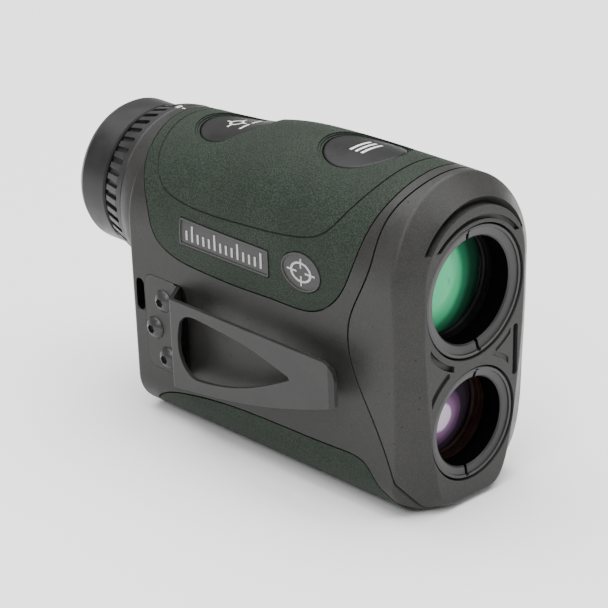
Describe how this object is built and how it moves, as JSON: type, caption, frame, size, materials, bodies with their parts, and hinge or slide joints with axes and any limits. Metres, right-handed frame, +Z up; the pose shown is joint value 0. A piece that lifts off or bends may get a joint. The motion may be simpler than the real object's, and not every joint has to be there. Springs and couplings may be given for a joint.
{
  "type": "laser rangefinder",
  "caption": "Hand-held laser rangefinder with twin front lenses, arched armoured body, two top keys, focusing eyepiece, side belt clip, battery cap and tripod socket.",
  "frame": {"origin": "mouth of the tripod socket, in the middle of the body's width on the pad it stands on", "axes": "+Z up, +Y from the objective end to the eyepiece, +X to the side away from the belt clip"},
  "size_m": [0.0494, 0.1139, 0.0777],
  "materials": {
    "chassis_coat": "fine textured coat",
    "armour_rubber": "fine stipple",
    "gasket_rubber": "matt",
    "button_rubber": "satin",
    "eyecup_rubber": "satin",
    "badge_metal": "blasted",
    "anodised_black": "satin anodised",
    "clip_coat": "semi-gloss coat",
    "barrel_black": "matt black",
    "lens_glass": "green coated",
    "receiver_glass": "violet coated",
    "optics_glass": "polished",
    "inner_plastic": "matt",
    "board_green": "solder mask",
    "flex_amber": "polyimide",
    "screw_steel": "black oxide",
    "contact_steel": "nickel plated",
    "brass": "machined",
    "cell_wrap": "printed film"
  },
  "bodies": {
    "housing": {"main_housing": "chassis_coat", "front_bezel": "chassis_coat", "belt_clip_base": "chassis_coat", "upper_armour": "armour_rubber", "lower_armour": "armour_rubber", "bezel_gasket": "gasket_rubber", "objective_oring": "gasket_rubber", "receiver_oring": "gasket_rubber", "menu_button_seal": "gasket_rubber", "measure_button_seal": "gasket_rubber", "side_plate": "badge_metal", "round_badge": "badge_metal", "objective_ring": "anodised_black", "receiver_ring": "anodised_black", "objective_barrel": "barrel_black", "objective_spacer": "barrel_black", "receiver_barrel": "barrel_black", "receiver_spacer": "barrel_black", "eyepiece_tube": "barrel_black", "prism_holder": "barrel_black", "objective_lens": "lens_glass", "objective_rear_lens": "lens_glass", "receiver_lens": "receiver_glass", "front_prism": "optics_glass", "roof_prism": "optics_glass", "battery_tube": "inner_plastic", "menu_switch": "inner_plastic", "measure_switch": "inner_plastic", "board_chips": "inner_plastic", "aiming_display": "inner_plastic", "main_board": "board_green", "detector_board": "board_green", "laser_driver_board": "board_green", "menu_switch_board": "board_green", "measure_switch_board": "board_green", "button_flex": "flex_amber", "belt_clip_screws": "screw_steel", "board_screws": "screw_steel", "bezel_screws": "screw_steel", "battery_spring": "contact_steel", "detector": "contact_steel", "laser_diode_module": "contact_steel", "tripod_insert": "brass", "battery": "cell_wrap"},
    "menu_key": {"menu_button": "button_rubber", "menu_switch_plunger": "inner_plastic"},
    "measure_key": {"measure_button": "button_rubber", "measure_switch_plunger": "inner_plastic"},
    "focus_ring": {"diopter_ring": "anodised_black"},
    "ocular": {"ocular_cell": "barrel_black", "field_lens": "optics_glass", "eye_lens": "optics_glass", "ocular_ring": "barrel_black"},
    "eyecup_guide": {"eyecup_sleeve": "inner_plastic"},
    "eyecup_turning": {"eyecup": "eyecup_rubber", "eyecup_core": "inner_plastic"},
    "clip_arm": {"belt_clip": "clip_coat"},
    "cap_guide": {"battery_cap_oring": "gasket_rubber"},
    "cap": {"battery_cap": "anodised_black", "battery_cap_contact": "contact_steel"}
  },
  "joints": [
    {"name": "menu_button_press", "type": "slide", "parent": "housing", "child": "menu_key", "axis": [0, 0, -1], "range_m": [0, 0.0007], "stiffness_N_per_m": 2500, "springref_m": -0.0002},
    {"name": "measure_button_press", "type": "slide", "parent": "housing", "child": "measure_key", "axis": [0, 0, -1], "range_m": [0, 0.0007], "stiffness_N_per_m": 2500, "springref_m": -0.0002},
    {"name": "diopter_turn", "type": "hinge", "parent": "housing", "child": "focus_ring", "pos_m": [0, 0.0658, 0.0517], "axis": [0, 1, 0], "range_deg": [-70, 70]},
    {"name": "diopter_focus", "type": "slide", "parent": "housing", "child": "ocular", "axis": [0, 1, 0], "range_m": [-0.0015, 0.0015]},
    {"name": "eyecup_extend", "type": "slide", "parent": "housing", "child": "eyecup_guide", "axis": [0, 1, 0], "range_m": [0, 0.006]},
    {"name": "eyecup_twist", "type": "hinge", "parent": "eyecup_guide", "child": "eyecup_turning", "pos_m": [0, 0.074, 0.0517], "axis": [0, 1, 0], "range_deg": [0, 180]},
    {"name": "clip_flex", "type": "hinge", "parent": "housing", "child": "clip_arm", "pos_m": [-0.021, 0.0411, 0.0255], "axis": [0.0344, 0, -0.9994], "range_deg": [0, 8], "stiffness_Nm_per_rad": 1.2, "springref_deg": -3.44},
    {"name": "battery_cap_lift", "type": "slide", "parent": "housing", "child": "cap_guide", "axis": [0, 1, 0], "range_m": [0, 0.006]},
    {"name": "battery_cap_turn", "type": "hinge", "parent": "cap_guide", "child": "cap", "pos_m": [0, 0.0535, 0.017], "axis": [0, 1, 0], "range_deg": [0, 1440]}
  ],
  "couplings": [
    {"joint": "diopter_focus", "follows": "diopter_turn", "m_per_rad": 0.0012278},
    {"joint": "eyecup_extend", "follows": "eyecup_twist", "m_per_rad": 0.0019099},
    {"joint": "battery_cap_lift", "follows": "battery_cap_turn", "m_per_rad": 0.00023873}
  ]
}
